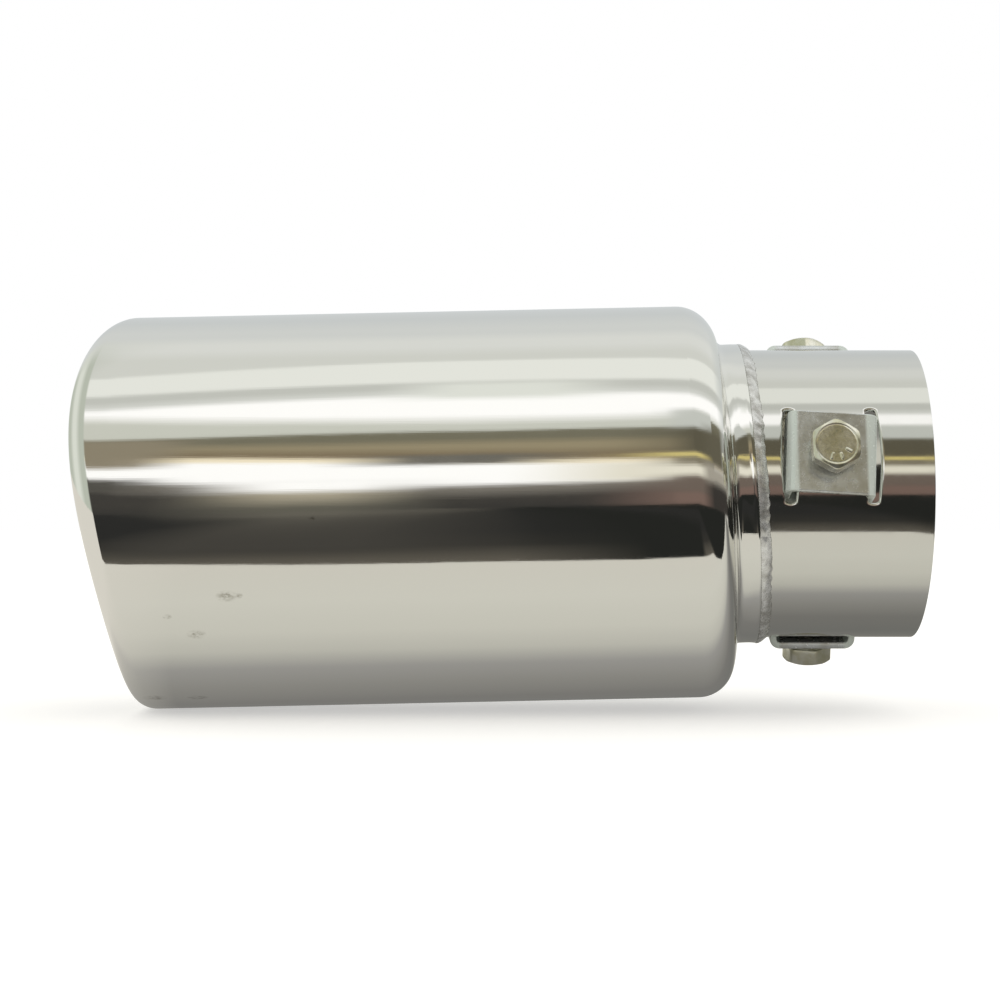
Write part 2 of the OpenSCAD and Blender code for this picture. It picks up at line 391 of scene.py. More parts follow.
def can_section():
    """Closed section of the sheet as rows of x, radius, share of slash and share of drop."""
    lip_x, lip_r = -outlet_reach + lip_radius, can_r - lip_radius
    shoulder_r = can_r - shoulder_radius
    throat_r = neck_r + throat_radius
    rows = []

    def put(points, slash, drop, backwards=False):
        """Adds points and their shares to the section."""
        shares = [np.broadcast_to(share, len(points)) for share in (slash, drop)]
        block = np.column_stack([points, *shares])
        rows.append(block[::-1] if backwards else block)

    def skin(inset, outwards):
        """One side of the sheet from the roll's end to the neck, or back."""
        turn = np.linspace(0, 90, 40)
        lip = arc(lip_x, lip_r, lip_radius - inset, -lip_turn, 0, 70)
        if outwards:
            # The bend starts a little further back than it is deep
            bend_part = lip[:, 1] > lip_r
            lip[bend_part, 0] = (lip[bend_part, 0] + outlet_reach) * lip_stretch - outlet_reach
        lip_end = lip[-1, 0]
        wall_x = np.linspace(lip_end, shoulder_start, 24)[1:-1]
        wall = np.column_stack([wall_x, np.full(wall_x.shape, can_r - inset)])
        share = (shoulder_start - wall_x) / (shoulder_start - lip_end)
        shoulder = arc(shoulder_start, shoulder_r, shoulder_radius - inset, 0, 90, 40)
        bent = np.linspace(0, 90, 20)[1:]
        throat_bend = throat_radius + inset
        throat = np.column_stack([neck_start - throat_bend * np.cos(np.radians(bent)),
                                  throat_r - throat_bend * np.sin(np.radians(bent))])
        neck_x = np.linspace(neck_start, neck_end, 6)[1:]
        neck = np.column_stack([neck_x, np.full(neck_x.shape, neck_r - inset)])
        parts = [(lip, 1.0, 1.0), (wall, share, 1.0), (shoulder, 0.0, ease(turn)),
                 (throat, 0.0, ease(90 + bent)), (neck, 0.0, 0.0)]
        for part in parts if outwards else parts[::-1]:
            put(*part, backwards=not outwards)

    skin(0.0, True)
    end_x, end_inset = neck_end + 0.05, 0.12
    put(np.array([[end_x, neck_r - end_inset], [end_x, neck_in_r + end_inset]]), 0.0, 0.0)
    skin(can_wall, False)
    # Round nose on the rolled edge of the sheet
    nose = np.radians(np.linspace(0, 180, 9)[1:-1])
    start, end = rows[-1][-1], rows[0][0]
    middle, half = (start + end) / 2, (end - start) / 2
    along = np.array([-half[1], half[0]])
    bulge = middle[:2] - np.outer(np.cos(nose), half[:2]) + np.outer(np.sin(nose), along)
    put(bulge, 1.0, 1.0)
    return np.concatenate(rows)


def can_surface(section, sides):
    """The section carried once round the pipe.

    x = x0 - depth times ((1 + cos(a - direction)) / 2) to the power of the sharpness, plus
    the lean. y and z are the radius turned by a, and z sinks by the drop and the tilt.
    """
    a = np.radians(np.arange(sides) * 360 / sides)[None, :]
    x0, r, slash, drop = (section[:, k:k + 1] for k in range(4))
    facing = (1 + np.cos(a - math.radians(slash_dir))) / 2
    reach = slash_depth * r / can_r * facing**slash_sharpness
    # The neck was pressed and brushed by hand: it is a little hollow and uneven
    near = np.clip((x0 - shoulder_end) / 1.2, 0, 1) * np.clip((neck_end - x0) / 0.8, 0, 1)
    near = near * (r > neck_in_r + 0.6)
    r = r + near * (0.05 * np.sin(7 * a + 0.9 * x0) + 0.03 * np.sin(17 * a - 0.8 * x0 + 1) - 0.08)
    x = x0 - slash * reach + (1 - slash) * lean(r, a)
    fall = drop * (can_drop + math.tan(math.radians(can_tilt)) * np.maximum(shoulder_end - x, 0))
    return np.stack([x, -r * np.cos(a), r * np.sin(a) - fall], -1)


section = can_section()
can_sides = 300
can_points = can_surface(section, can_sides).reshape(-1, 3)
can_faces = grid_faces(len(section), can_sides, True, True)
make_piece("can_skin", can_points, can_faces, "outlet_can", "tip", can_finish)

# %% [markdown]
# ## A sheet with holes
# The tube and the clips are both sheet metal with holes, so both start flat: a grid
# of lines across a and b, with patches left out where a hole comes. A ring of points
# leads from each patch's edge to the hole, over a rounded rim, down the wall and out
# to the patch on the other face. The flat sheet is then wrapped to its real form.


# %% The flat sheet
def rim_profile(thickness, edge, sink, steps=7):
    """Offset outwards from the hole, and depth: a quarter of an ellipse over each rim.

    Each quarter is edge wide and sink deep.
    """
    a = np.radians(np.linspace(0, 90, steps))
    upper = np.stack([edge * (1 - np.sin(a)), -sink * (1 - np.cos(a))], -1)
    lower = upper[::-1] * [1, -1] - [0, thickness]
    return np.concatenate([upper, lower])


def hole_patch(rect, hole, thickness, rim, lines_a, lines_b, rings=5):
    """Rings from a rectangle of the grid down through a hole and back under the sheet.

    The hole is (a, b, half length along b, radius): a circle drawn out along b.
    """
    i0, i1, j0, j1 = rect
    loop = np.concatenate([
        np.column_stack([lines_a[i0:i1], np.full(i1 - i0, lines_b[j0])]),
        np.column_stack([np.full(j1 - j0, lines_a[i1]), lines_b[j0:j1]]),
        np.column_stack([lines_a[i1:i0:-1], np.full(i1 - i0, lines_b[j1])]),
        np.column_stack([np.full(j1 - j0, lines_a[i0]), lines_b[j1:j0:-1]])])
    a0, b0, half, radius = hole
    drawn_out = np.clip((loop[:, 1] - b0) * half / (np.ptp(loop[:, 1]) / 2), -half, half)
    spine = np.column_stack([np.full(len(loop), a0), b0 + drawn_out])
    out = loop - spine
    out /= np.linalg.norm(out, axis=1, keepdims=True)

    def ring(offset, depth):
        """Points of the hole's outline, offset outwards, at one depth."""
        return np.column_stack([spine + out * (radius + offset), np.full(len(loop), depth)])

    lip = [ring(offset, depth) for offset, depth in rim_profile(thickness, *rim)]
    shares = np.linspace(0, 1, rings)[:-1, None, None]
    flat_loop = np.column_stack([loop, np.zeros(len(loop))])
    top = list(flat_loop[None] * (1 - shares) + lip[0][None] * shares)
    low = [r - [0, 0, thickness] for r in top[::-1]]
    points = np.array(top + lip + low)
    return points.reshape(-1, 3), grid_faces(len(points), len(loop), False, True)[:, ::-1]


def flat_sheet(lines_a, lines_b, holes, thickness, edge, closed_b):
    """Both faces of a sheet less its patches, with rims at the holes and round its open borders."""
    na, nb = len(lines_a), len(lines_b)
    keep = np.ones((na - 1, nb - 1), bool)
    parts = []
    for rect, hole, rim in holes:
        keep[rect[0]:rect[1], rect[2]:rect[3]] = False
        parts.append(hole_patch(rect, hole, thickness, rim, lines_a, lines_b))
    aa, bb = np.meshgrid(lines_a, lines_b, indexing="ij")
    faces = grid_faces(na, nb)[keep.reshape(-1)]
    for depth in (0.0, -thickness):
        face = np.stack([aa, bb, np.full(aa.shape, depth)], -1).reshape(-1, 3)
        parts.append((face, faces if depth == 0 else faces[:, ::-1]))
    # Borders: the same rounded rim, but bulging away from the sheet
    a = np.radians(np.linspace(0, 90, 5))
    upper = np.stack([edge * np.sin(a), -edge * (1 - np.cos(a))], -1)
    border = np.concatenate([upper, upper[::-1] * [1, -1] - [0, thickness]])
    if closed_b:
        borders = [(np.column_stack([np.full(nb, lines_a[0]), lines_b]), -1),
                   (np.column_stack([np.full(nb, lines_a[-1]), lines_b]), 1)]
    else:
        borders = [(np.concatenate([
            np.column_stack([lines_a[:-1], np.full(na - 1, lines_b[0])]),
            np.column_stack([np.full(nb - 1, lines_a[-1]), lines_b[:-1]]),
            np.column_stack([lines_a[:0:-1], np.full(na - 1, lines_b[-1])]),
            np.column_stack([np.full(nb, lines_a[0]), lines_b[::-1]])]), 1)]
    for line, order in borders:
        away = np.column_stack([(line[:, 0] == lines_a[-1]) * 1.0 - (line[:, 0] == lines_a[0]),
                                (line[:, 1] == lines_b[-1]) * 1.0 - (line[:, 1] == lines_b[0])])
        away[:, 1] *= not closed_b
        rows = [np.column_stack([line + away * out, np.full(len(line), depth)])
                for out, depth in border]
        parts.append((np.concatenate(rows), grid_faces(len(rows), len(line))[:, ::order]))
    count, all_points, all_faces = 0, [], []
    for points, quads in parts:
        all_points.append(points)
        all_faces.append(quads + count)
        count += len(points)
    return np.concatenate(all_points), np.concatenate(all_faces)


def sheet_normals(wrap, flat, thickness):
    """On both faces, the way that a small step in depth goes.

    It is zero on the rims, which keep the mesh's own normals.
    """
    way = wrap(flat + [0, 0, 0.01]) - wrap(flat)
    way /= np.linalg.norm(way, axis=1, keepdims=True)
    side = np.where(flat[:, 2] > -1e-6, 1.0, np.where(flat[:, 2] < 1e-6 - thickness, -1.0, 0.0))
    return way * side[:, None]


# %% [markdown]
# ## The inlet tube
# The slots are punched, so their edges are drawn in and rounded and catch the light.
# The sheet's b runs round the tube as arc length, and wrapping it turns b / radius
# into the angle. The mouth's inside is reamed a little for the pipe.


# %% Lines of the grid that meet the slots and bolt holes
def lines_through(marks, step):
    """Grid lines that pass through each mark, with about one step between them."""
    lines = [marks[0]]
    for low, high in zip(marks[:-1], marks[1:]):
        count = max(1, round((high - low) / step))
        lines += list(low + (high - low) * np.arange(1, count + 1) / count)
    return np.array(lines)


def index_of(lines, mark):
    """Number of the line nearest to a mark."""
    return int(np.abs(lines - mark).argmin())


edge = 0.15
slot_rim, hole_rim = (0.75, 0.42), (0.2, 0.2)
patch_a, patch_b = slot_w / 2 + 1.2, slot_len / 2 + 1.6
hole_patch_half = hole_d / 2 + 1.0
slot_a = [-clip_back - leg_mid, -clip_back + leg_mid]
a_marks = [bead_end - tube_in + edge, slot_a[0] - patch_a, slot_a[0] + patch_a,
           -clip_back - hole_patch_half, -clip_back + hole_patch_half,
           slot_a[1] - patch_a, slot_a[1] + patch_a, -mouth_len + 1.0, -edge]
a_marks = sorted(set(np.round(a_marks, 4)))
b_marks = []
for direction, *_ in SETS.values():
    middle = math.radians(direction % 360) * tube_r
    b_marks += [middle + side for side in (-patch_b, -hole_patch_half, 0, hole_patch_half, patch_b)]
b_marks.sort()
b_marks.append(b_marks[0] + 2 * math.pi * tube_r)
lines_a, lines_b = lines_through(a_marks, 0.9), lines_through(b_marks, 0.75)
print(len(lines_a), "lines along the tube and", len(lines_b), "round it")


# %% The tube's skin
def tube_holes():
    """Two slots and a bolt hole for each clip, with the patch of the grid that each takes."""
    holes = []
    for direction, *_ in SETS.values():
        middle = math.radians(direction % 360) * tube_r
        slot_hole = (middle, slot_len / 2 - slot_w / 2, slot_w / 2)
        places = [(a, patch_a, patch_b, slot_hole, slot_rim) for a in slot_a]
        bolt_hole = (middle, 0.0, hole_d / 2)
        places.append((-clip_back, hole_patch_half, hole_patch_half, bolt_hole, hole_rim))
        for a, half_a, half_b, hole, rim in places:
            rect = (index_of(lines_a, a - half_a), index_of(lines_a, a + half_a),
                    index_of(lines_b, middle - half_b), index_of(lines_b, middle + half_b))
            holes.append((rect, (a, *hole), rim))
    return holes


def wrap_tube(points):
    """a stays x, b / radius is the angle from -Y, and depth takes off the radius."""
    x, angle, depth = points[:, 0], points[:, 1] / tube_r, points[:, 2]
    depth = np.where(x > -mouth_len, depth * (tube_wall - mouth_ream) / tube_wall, depth)
    r = tube_r + depth
    return np.stack([x, -r * np.cos(angle), r * np.sin(angle)], -1)


flat, quads = flat_sheet(lines_a, lines_b, tube_holes(), tube_wall, edge, True)
tube_points, tube_faces, kept = merge(wrap_tube(flat), quads)
make_piece("tube_skin", tube_points, tube_faces, "inlet_tube", "tip", tube_finish,
           sheet_normals(wrap_tube, flat[kept], tube_wall))

# %% [markdown]
# ## The weld
# A hand-fed weld freezes in small overlapping ripples. Here the bead is a fillet
# carried round the joint, whose height follows a leaning saw of cosines; a second,
# slower wave keeps the ripples from being all alike.


# %% The bead's skin
def bead_surface(steps, sides):
    """u runs across the fillet from the neck to the tube, and a round it.

    The radius falls from the neck to the tube, and leaning ripples, which are the root of
    a cosine, swell in the middle of the fillet under slower, uneven waves.
    """
    u = np.linspace(0, 1, steps)[:, None]
    a = (np.arange(sides) * 2 * math.pi / sides)[None, :]
    waves = round(2 * math.pi * neck_r / bead_pitch)
    phase = waves * a + 1.0 * u + 0.5 * np.sin(3 * a + 1) + 0.4 * np.sin(11 * a)
    scallop = np.abs(np.cos(phase / 2 + 1.1 * u * (1 - u))) ** 0.7
    uneven = 0.75 + 0.4 * np.sin(7 * a + 2) + 0.3 * np.sin(19 * a) + 0.25 * np.sin(43 * a + 1)
    swell = np.sin(math.pi * u) ** 0.8
    low, rise = tube_r + 0.04, neck_r - tube_r - 0.02
    lumps = np.sin(23 * a + 2.5 * np.sin(5 * a) + 4 * u) * np.sin(41 * a - 3 * u + 1)
    r = low + rise * (1 - u**1.6) + swell * (0.11 + 0.06 * scallop * uneven + 0.07 * lumps)
    ragged = 0.03 * np.sin(phase) + 0.04 * np.sin(13 * a + 1) + 0.03 * np.sin(71 * a)
    x = neck_end + bead_start + bead_len * u * (1 + ragged * u)
    return np.stack([x + lean(r, a), -r * np.cos(a), r * np.sin(a)], -1)


bead_sides, bead_start = 1312, 0.05
bead = bead_surface(20, bead_sides)
seat_a = (np.arange(bead_sides) * 2 * math.pi / bead_sides)[None, :]
seat_r = tube_r + 0.025
seat = np.stack([neck_end + bead_start + lean(seat_r, seat_a),
                 -seat_r * np.cos(seat_a), seat_r * np.sin(seat_a)], -1)
bead_points = np.concatenate([bead, seat]).reshape(-1, 3)
make_piece("bead_skin", bead_points, grid_faces(len(bead) + 1, bead_sides, True, True),
           "weld_bead", "tip", weld_finish)

# %% [markdown]
# ## The clips
# A clip is a strip bent four times: two legs go down through the slots and two feet
# fold in under the nut. The flat sheet's a follows the outside of the strip, and
# wrapping it walks along five straight runs and four quarter bends.


# %% Carry the strip along its bends
def round_pipe(points, direction, turn):
    """Turns points from a clip's own frame, where z points away from the pipe, to their place."""
    t, d = math.radians(turn), math.radians(90 - direction)
    x = points[:, 0] * math.cos(t) - points[:, 1] * math.sin(t)
    y = points[:, 0] * math.sin(t) + points[:, 1] * math.cos(t)
    z = points[:, 2]
    return np.stack([x - clip_back, y * math.cos(d) - z * math.sin(d),
                     y * math.sin(d) + z * math.cos(d)], -1)


bend = bend_radius * math.pi / 2
foot_run, leg_run = foot_len - bend_radius, plate_top - foot_low - 2 * bend_radius
RUNS = [foot_run, bend, leg_run, bend, clip_len - 2 * bend_radius, bend, leg_run, bend, foot_run]
strip_length = sum(RUNS)


def wrap_strip(points):
    """Walks along the runs: straight ones keep their heading, each bend turns it by 90 degrees."""
    s, y, depth = points.T
    x_at, z_at, heading = -clip_len / 2 + foot_len, foot_low, math.pi
    x, z, start = np.zeros(len(s)), np.zeros(len(s)), 0.0
    for number, run in enumerate(RUNS):
        here = (s >= start - 1e-9) if number else np.ones(len(s), bool)
        along = s - start
        if number % 2:
            cx, cz = x_at + bend_radius * math.sin(heading), z_at - bend_radius * math.cos(heading)
            angle = heading - along / bend_radius
            px = cx - (bend_radius + depth) * np.sin(angle)
            pz = cz + (bend_radius + depth) * np.cos(angle)
            x, z = np.where(here, px, x), np.where(here, pz, z)
            heading -= math.pi / 2
            x_at, z_at = cx - bend_radius * math.sin(heading), cz + bend_radius * math.cos(heading)
        else:
            px = x_at + along * math.cos(heading) - depth * math.sin(heading)
            pz = z_at + along * math.sin(heading) + depth * math.cos(heading)
            x, z = np.where(here, px, x), np.where(here, pz, z)
            x_at, z_at = x_at + run * math.cos(heading), z_at + run * math.sin(heading)
        start += run
    return np.stack([x, y, z], -1)


# %% The clips' skins
clip_edge = 0.3
middle = strip_length / 2
ends = np.cumsum(RUNS)
clip_a = lines_through(sorted([clip_edge, *ends[:-1], middle - hole_patch_half,
                               middle + hole_patch_half, strip_length - clip_edge]), 0.45)
clip_b = lines_through([-strip_w / 2 + clip_edge, -hole_patch_half,
                        hole_patch_half, strip_w / 2 - clip_edge], 0.6)
clip_rect = (index_of(clip_a, middle - hole_patch_half), index_of(clip_a, middle + hole_patch_half),
             index_of(clip_b, -hole_patch_half), index_of(clip_b, hole_patch_half))
clip_hole = (clip_rect, (middle, 0.0, 0.0, hole_d / 2), hole_rim)
flat, quads = flat_sheet(clip_a, clip_b, [clip_hole], strip_t, clip_edge, False)
for name, (direction, twist, _, _) in SETS.items():
    def wrap(sheet):
        """The strip bent, and then put in its place round the pipe."""
        return round_pipe(wrap_strip(sheet), direction, twist)
    points, faces, kept = merge(wrap(flat), quads)
    make_piece(f"clip_{name}_skin", points, faces, f"clip_{name}", "tip",
               strip_finish, sheet_normals(wrap, flat[kept], strip_t))

# %% [markdown]
# ## Bolts and nuts
# A hexagon bolt's head is turned to a cone before its flats show, so each flat ends in
# an arc. In polar form that is simple: the radius of a hexagon, rounded a little at
# its corners, and a top edge that sinks where the corner reaches past the cone. The
# thread is a cylinder whose radius follows a 60 degree saw along a helix. The marks
# that a maker would emboss are left as three plain ticks.


# %% Hexagons, cones and threads
SIDES = 144
angles = np.arange(SIDES) * 2 * math.pi / SIDES
corner_ease = 0.35
thread_depth = 0.54 * thread_pitch
tick_directions = np.radians([-140, -100, -60])
tick_from, tick_to, tick_half, tick_h = 2.1, 3.7, 0.30, 0.14


def hex_radius(angle):
    """Distance to a hexagon's edge, with its corners eased by a soft minimum."""
    turns = np.radians(np.arange(0, 360, 60) + 30)
    reach = hex_flats / 2 / np.maximum(np.cos(angle[..., None] - turns), 0.2)
    return -corner_ease * np.log(np.exp(-reach / corner_ease).sum(-1)) + corner_ease * 0.02


def chamfered_side(height, cone_r, up):
    """Rim of a head or nut: the side's radius, and the height where a 30 degree cone cuts it."""
    r = hex_radius(angles)
    cut = np.maximum(r - cone_r, 0.05) * math.tan(math.radians(30))
    return r, height - cut if up else cut


def thread_radius(z, crest):
    """Radius of an outside thread: flat crest, 60 degree flanks and rounded root.

    Its phase is z / pitch less the share of the turn, so that it climbs with the angle.
    """
    phase = (z / thread_pitch - angles / (2 * math.pi)) % 1.0
    return crest - thread_depth * np.clip(np.abs(phase - 0.5) * 2 * 1.25 - 0.125, 0, 1)


def ring_points(rows):
    """A ring of points for each row of radius and height, which may vary with the angle."""
    return np.concatenate([np.stack([r * np.cos(angles), r * np.sin(angles),
                                     np.broadcast_to(z, angles.shape)], -1) for r, z in rows])


# %% One bolt in its own frame, its head standing on z = 0
def bolt_skin():
    """Rows of radius and height from the shank's tip, up its thread and over the head."""
    side_r, side_z = chamfered_side(head_h, hex_flats / 2 * 0.95, True)
    crest = bolt_d / 2 - thread_gap
    root = crest - 0.55 * thread_pitch
    rows = [(root * share, -bolt_len) for share in (0.01, 0.5, 0.85)]
    for z in np.linspace(-bolt_len, -0.35, 250):
        # The tip is turned to a cone, so the thread starts at its root
        start_r = root + (crest - root) * min(1.0, (z + bolt_len) / 0.8)
        rows.append((np.minimum(thread_radius(z, crest), start_r), z))
    washer, side_low = hex_flats / 2 * 0.96, 0.5
    rows += [(root + 0.1, -0.3), (root + 0.25, -0.08), (root + 0.5, 0.0),
             (washer - 0.1, 0.0), (washer, 0.05), (washer, 0.25),
             (side_r * 0.97, 0.3), (side_r * 0.995, 0.38), (side_r, side_low)]
    rows += [(side_r, side_low + (side_z - side_low) * share) for share in (0.25, 0.5, 0.75, 0.93)]
    top_r = hex_flats / 2 * 0.90
    rows += [(side_r * (1 - share) * 0.995 + top_r * share, side_z * (1 - share) + head_h * share)
             for share in np.linspace(0, 1, 7)]
    # Sunken top face with a raised rim, and three plain radial ticks on its one side
    off = np.abs(np.angle(np.exp(1j * (angles[:, None] - tick_directions))))
    for r in np.linspace(top_r, 0.02, 40)[1:]:
        across = np.clip((tick_half - off * r) / 0.12, 0, 1).max(1)
        tick = across * np.clip((r - tick_from) / 0.2, 0, 1) * np.clip((tick_to - r) / 0.2, 0, 1)
        rows.append((r, head_h - tick_h + tick_h * tick + 0.06 * np.clip((r - 4.1) / 0.3, 0, 1)))
    points = ring_points(rows)
    faces = [list(f) for f in grid_faces(len(rows), SIDES, False, True)]
    faces += [list(range(SIDES))[::-1], list(range(len(points) - SIDES, len(points)))]
    return points, faces


def place_all(part, faces, lift_z, kind, body_of):
    """Puts a copy of a bolt or a nut at each clip."""
    for name, (direction, twist, lift, turn) in SETS.items():
        moved = part + [0, 0, lift_z + (lift if kind == "bolt" else 0)]
        points = round_pipe(moved, direction, turn if kind == "bolt" else twist)
        make_piece(f"{kind}_{name}_skin", points, faces, f"{kind}_{name}",
                   body_of(name), zinc_finish)


bolt_points, bolt_faces = bolt_skin()
place_all(bolt_points, bolt_faces, plate_top, "bolt", lambda name: f"{name}_bolt")


# %% One nut in its own frame, its lower face on z = 0
def nut_skin():
    """Rows of radius and height round the nut's section: out from the bore, up and back in."""
    cone_r = hex_flats / 2 * 0.97
    side_r, low_z = chamfered_side(nut_h, cone_r, False)
    _, high_z = chamfered_side(nut_h, cone_r, True)
    bore, mouth_h = bolt_d / 2, 0.4
    mouth_r, face_r = bore + 0.35, cone_r - 0.1
    rows = [(bore, mouth_h), (mouth_r, 0.0), (face_r, 0.0),
            (side_r, low_z), (side_r, (low_z + high_z) / 2), (side_r, high_z),
            (face_r, nut_h), (mouth_r, nut_h), (bore, nut_h - mouth_h)]
    rows += [(thread_depth + thread_radius(z, bore), z)
             for z in np.linspace(nut_h - mouth_h, mouth_h, 60)[1:-1]]
    return ring_points(rows), grid_faces(len(rows), SIDES, True, True)


nut_points, nut_faces = nut_skin()
place_all(nut_points, nut_faces, nut_low, "nut", lambda name: "tip")

# %% [markdown]
# ## The studio
# The tip lies on pale paper. A polished can shows little but its surroundings, so the
# light that it sees is planned: bands of light and dark, one above the other, as a
# window, a lamp and a dark room would give. The bands live in the world, where they
# follow the direction of a reflected ray round the pipe, and only glossy rays see
# them. The floor and the background get plain white light.


# %% Floor
floor_gap, floor_reach = 0.0003, 3.0
floor_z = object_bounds()[0].z - floor_gap
mirrored_strength, paper_strength = 1.2, 0.45
# Painted shade: the paper that the metal sees glows with these tones, darkest under the tip and
# just behind it
PAINTED_FLOOR_SHADE = [  # how the metal sees the paper: metres towards the back, and the colour there
    (-0.110, "#c9c6bd"), (-0.060, "#c9c8bf"), (-0.042, "#c3c2b9"), (-0.033, "#b6b5ad"),
    (-0.026, "#949390"), (-0.018, "#868581"), (-0.008, "#757471"), (0.010, "#6e6e6b"),
    (0.050, "#75746f"), (0.130, "#b8b7b0"),
]


def floor_material():
    """Matt paper that looks white to the camera and keeps the shadow under the tip.

    The metal sees a glow of painted shade instead, which follows y: darkest under the tip and just
    behind it, paler in front and far behind, with painted light beyond the outlet.
    """
    material, tree, place = new_material("pale_paper")
    where = add(tree, "ShaderNodeSeparateXYZ", place)
    tone = fade(tree, where.outputs["Y"], PAINTED_FLOOR_SHADE)
    # Painted light: the paper that the metal sees turns paler beyond the outlet
    beyond = add(tree, "ShaderNodeMapRange", where.outputs["X"], -0.205, -0.165, 1.0, 0.0)
    tone = add(tree, "ShaderNodeMix", data_type="RGBA", Factor=beyond, A=tone, B=linear("#d4d1c9"))
    mirrored = add(tree, "ShaderNodeEmission", tone, mirrored_strength)
    matt = add(tree, "ShaderNodeBsdfDiffuse", linear("#dedcd6"))
    bright = add(tree, "ShaderNodeEmission", (1, 1, 1, 1), paper_strength)
    white = add(tree, "ShaderNodeAddShader", matt, bright)
    rays = add(tree, "ShaderNodeLightPath")
    pick = add(tree, "ShaderNodeMixShader", rays.outputs["Is Glossy Ray"], matt, mirrored)
    seen = add(tree, "ShaderNodeMixShader", rays.outputs["Is Camera Ray"], pick, white)
    add(tree, "ShaderNodeOutputMaterial", seen)
    return material


def flat_card(name, corners, z, material):
    """A level sheet through corners (x, y) in metres."""
    mesh = bpy.data.meshes.new(name)
    mesh.from_pydata([(x, y, z) for x, y in corners], [], [tuple(range(len(corners)))])
    mesh.materials.append(material)
    card = bpy.data.objects.new(name, mesh)
    bpy.context.scene.collection.objects.link(card)
    return card


floor_corners = [(-floor_reach, -floor_reach), (floor_reach, -floor_reach),
                 (floor_reach, floor_reach), (-floor_reach, floor_reach)]
flat_card("floor", floor_corners, floor_z, floor_material())


# %% The dark cloth in front of the paper, which only reflections see
def dark_material():
    """Glowing cloth, seen only in reflections, whose tones are a painted reflection of the dark
    room:
    the tone follows y, with a paler and a dark part by shares of x, which are painted light and
    painted shade, and a streak of painted light.

    The streak is strongest where (x + 0.13) / (0.1 - y) + 0.075 is zero.
    """
    material, tree, place = new_material("dark_cloth")
    where = add(tree, "ShaderNodeSeparateXYZ", place)
    sideways, depth = where.outputs["X"], where.outputs["Y"]
    tone = fade(tree, depth, [(-0.200, "#2b2b2a"), (-0.140, "#33322f"), (-0.098, "#5c5850")])

    def shares(*ranges):
        """The shares multiplied, each of them a value held between two marks."""
        product = 1.0
        for value, *marks in ranges:
            share = add(tree, "ShaderNodeMapRange", value, *marks)
            product = add(tree, "ShaderNodeMath", product, share, operation="MULTIPLY")
        return product

    # Painted light makes it paler towards the outlet, and painted shade keeps it dark in front of
    # the shoulder
    pale = shares((sideways, -0.205, -0.175), (sideways, -0.130, -0.080, 1.0, 0.0),
                  (depth, -0.140, -0.110, 1.0, 0.0))
    shoulder = shares((sideways, -0.090, -0.055), (sideways, -0.035, -0.020, 1.0, 0.0))
    inlet = add(tree, "ShaderNodeMapRange", sideways, 0.012, 0.022)
    dark = add(tree, "ShaderNodeMath", shoulder, inlet, operation="MAXIMUM")
    # A streak of painted light that widens away from the tip
    ahead = add(tree, "ShaderNodeMath", 0.1, depth, operation="SUBTRACT")
    shifted = add(tree, "ShaderNodeMath", sideways, 0.13, operation="ADD")
    slant = add(tree, "ShaderNodeMath", shifted, ahead, operation="DIVIDE")
    turned = add(tree, "ShaderNodeMath", slant, 0.075, operation="ADD")
    beside = add(tree, "ShaderNodeMath", turned, operation="ABSOLUTE")
    streak = shares((beside, 0.015, 0.10, 1.0, 0.0), (depth, -0.90, -0.16, 1.0, 0.0))
    for share, colour in ((pale, "#42403c"), (dark, "#242523"), (streak, "#625f57")):
        tone = add(tree, "ShaderNodeMix", data_type="RGBA", Factor=share, A=tone, B=linear(colour))
    glow = add(tree, "ShaderNodeEmission", tone, mirrored_strength)
    add(tree, "ShaderNodeOutputMaterial", glow)
    return material


cloth_start, cloth_side, cloth_lift = -0.098, -0.204, 0.0005
cloth_corners = [
    (-1.08, -floor_reach), (floor_reach, -floor_reach), (floor_reach, -0.064), (0.100, -0.064),
    (0.045, -0.068), (0.018, -0.088), (0.010, cloth_start - 0.003), (-0.040, cloth_start - 0.003),
    (-0.060, cloth_start), (cloth_side + 0.060, cloth_start),
    (cloth_side + 0.021, cloth_start - 0.006), (cloth_side + 0.003, cloth_start - 0.010),
    (cloth_side, cloth_start - 0.018),
]
cloth = flat_card("dark_cloth", cloth_corners, floor_z + cloth_lift, dark_material())
cloth.visible_camera = False
cloth.visible_diffuse = False
cloth.visible_shadow = False

# %% [markdown]
# The world measures two things in each ray that leaves the metal. The first is the
# angle round the pipe of the place that sent it here: 0 degrees faces the camera and
# 90 is the top. The second is how far that place faces along the pipe: -1 towards the
# outlet and 1 towards the inlet. Bands are laid over the angle, bowed a little along
# the pipe as in a real room. Patches over angle and facing add the smaller things of
# the room, and the widest of them close it at its two ends.

